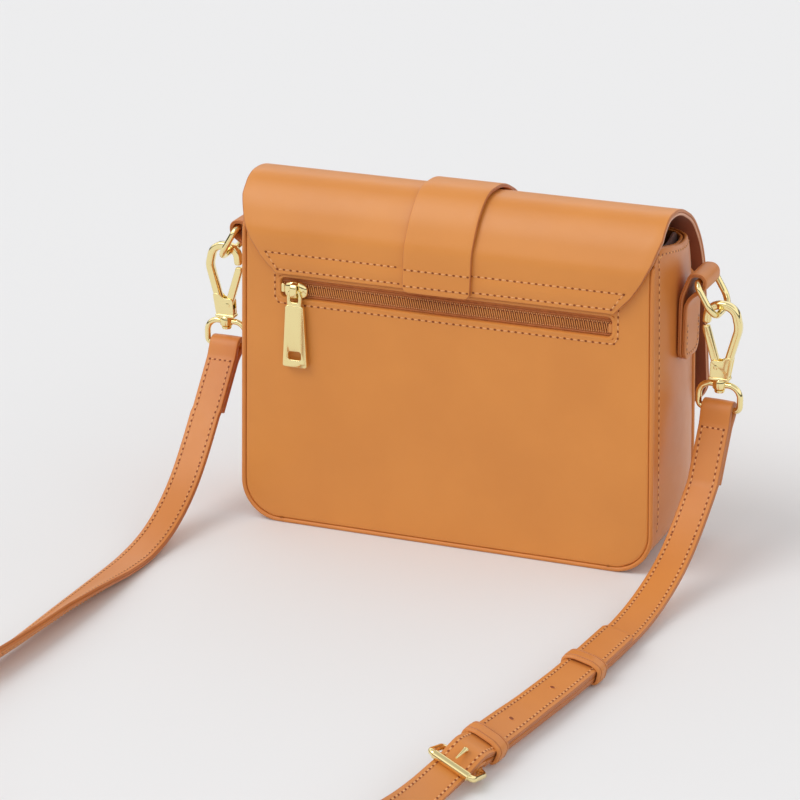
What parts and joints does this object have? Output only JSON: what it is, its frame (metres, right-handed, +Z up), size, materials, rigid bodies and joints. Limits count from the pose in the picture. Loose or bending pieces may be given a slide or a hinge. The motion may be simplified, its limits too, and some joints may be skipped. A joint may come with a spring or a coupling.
{
  "type": "sling bag",
  "caption": "Box-shaped leather crossbody bag with a fold-over flap, zipped back pocket and detachable buckled shoulder strap.",
  "frame": {"origin": "middle of the base, on the surface the bag stands on", "axes": "+Z up, +X to the bag's left when worn, -Y its front; the zipped back faces +Y"},
  "size_m": [0.281, 0.4783, 0.1782],
  "materials": {
    "leather": "smooth tan, soft sheen",
    "leather_edge": "painted edge",
    "lining_fabric": "woven, dark",
    "board": "matt",
    "zip_tape": "woven",
    "zip_coil": "satin",
    "gold_metal": "polished pale gold"
  },
  "bodies": {
    "bag": {"back_panel": "leather", "front_panel": "leather", "gusset": "leather", "binding_back": "leather_edge", "binding_front": "leather_edge", "lining": "lining_fabric", "back_stiffener": "board", "front_stiffener": "board", "base_board": "board", "zip_pocket": "lining_fabric", "zip_tape_lower": "zip_tape", "zip_tape_upper": "zip_tape", "zip_teeth_lower": "zip_coil", "zip_teeth_upper": "zip_coil", "zip_stop_closed": "gold_metal", "zip_stop_open": "gold_metal", "flap_anchor": "leather", "belt_anchor": "leather", "snap_socket": "gold_metal", "ring_tab_left": "leather", "ring_tab_right": "leather", "strap_short": "leather", "strap_long": "leather", "strap_tail": "leather", "keeper_fixed": "leather", "buckle_frame": "gold_metal", "buckle_fold": "leather"},
    "flap": {"flap_outer": "leather", "flap_lining": "lining_fabric", "belt_strap": "leather", "snap_stud": "gold_metal"},
    "slider": {"zip_slider": "gold_metal"},
    "puller": {"zip_puller": "gold_metal"},
    "prong": {"buckle_prong": "gold_metal"},
    "keeper": {"keeper_sliding": "leather"},
    "ring_left": {"ring_left": "gold_metal"},
    "loop_left": {"swivel_loop_left": "gold_metal", "strap_end_left": "leather"},
    "hook_left": {"hook_body_left": "gold_metal", "gate_pin_left": "gold_metal", "gate_spring_left": "gold_metal", "swivel_post_left": "gold_metal"},
    "gate_left": {"hook_gate_left": "gold_metal"},
    "ring_right": {"ring_right": "gold_metal"},
    "loop_right": {"swivel_loop_right": "gold_metal", "strap_end_right": "leather"},
    "hook_right": {"hook_body_right": "gold_metal", "gate_pin_right": "gold_metal", "gate_spring_right": "gold_metal", "swivel_post_right": "gold_metal"},
    "gate_right": {"hook_gate_right": "gold_metal"}
  },
  "joints": [
    {"name": "flap_open", "type": "hinge", "parent": "bag", "child": "flap", "pos_m": [0, 0.0368, 0.148], "axis": [-1, 0, 0], "range_deg": [0, 150]},
    {"name": "zip_slide", "type": "slide", "parent": "bag", "child": "slider", "axis": [1, 0, 0], "range_m": [-0.15, 0]},
    {"name": "puller_swing", "type": "hinge", "parent": "slider", "child": "puller", "pos_m": [0.076, 0.03475, 0.122], "axis": [1, 0, 0], "range_deg": [0, 90]},
    {"name": "ring_swing_left", "type": "hinge", "parent": "bag", "child": "ring_left", "pos_m": [0.1184, -0.0035, 0.1414], "axis": [0, -1, 0], "range_deg": [-3, 30]},
    {"name": "hook_swing_left", "type": "hinge", "parent": "ring_left", "child": "loop_left", "pos_m": [0.1275, -0.0035, 0.12564], "axis": [0, -1, 0], "range_deg": [-3, 20]},
    {"name": "swivel_left", "type": "hinge", "parent": "loop_left", "child": "hook_left", "pos_m": [0.1285, 0, 0.0902], "axis": [0, 0, 1], "range_deg": [-20, 20]},
    {"name": "gate_left", "type": "hinge", "parent": "hook_left", "child": "gate_left", "pos_m": [0.1269, 0, 0.099], "axis": [0, 1, 0], "range_deg": [0, 25], "stiffness_Nm_per_rad": 0.004, "springref_deg": -17.19},
    {"name": "ring_swing_right", "type": "hinge", "parent": "bag", "child": "ring_right", "pos_m": [-0.1184, -0.0035, 0.1414], "axis": [0, 1, 0], "range_deg": [-3, 30]},
    {"name": "hook_swing_right", "type": "hinge", "parent": "ring_right", "child": "loop_right", "pos_m": [-0.1275, -0.0035, 0.12564], "axis": [0, 1, 0], "range_deg": [-3, 20]},
    {"name": "swivel_right", "type": "hinge", "parent": "loop_right", "child": "hook_right", "pos_m": [-0.1285, 0, 0.0902], "axis": [0, 0, 1], "range_deg": [-20, 20]},
    {"name": "gate_right", "type": "hinge", "parent": "hook_right", "child": "gate_right", "pos_m": [-0.1269, 0, 0.099], "axis": [0, -1, 0], "range_deg": [0, 25], "stiffness_Nm_per_rad": 0.004, "springref_deg": -17.19},
    {"name": "prong_lift", "type": "hinge", "parent": "bag", "child": "prong", "pos_m": [-0.1022, 0.2685, 0.0074], "axis": [0.9127, -0.1198, 0.3907], "range_deg": [0, 10]},
    {"name": "keeper_slide", "type": "slide", "parent": "bag", "child": "keeper", "axis": [0.0788, 0.9969, 0.0046], "range_m": [-0.015, 0.015]}
  ]
}
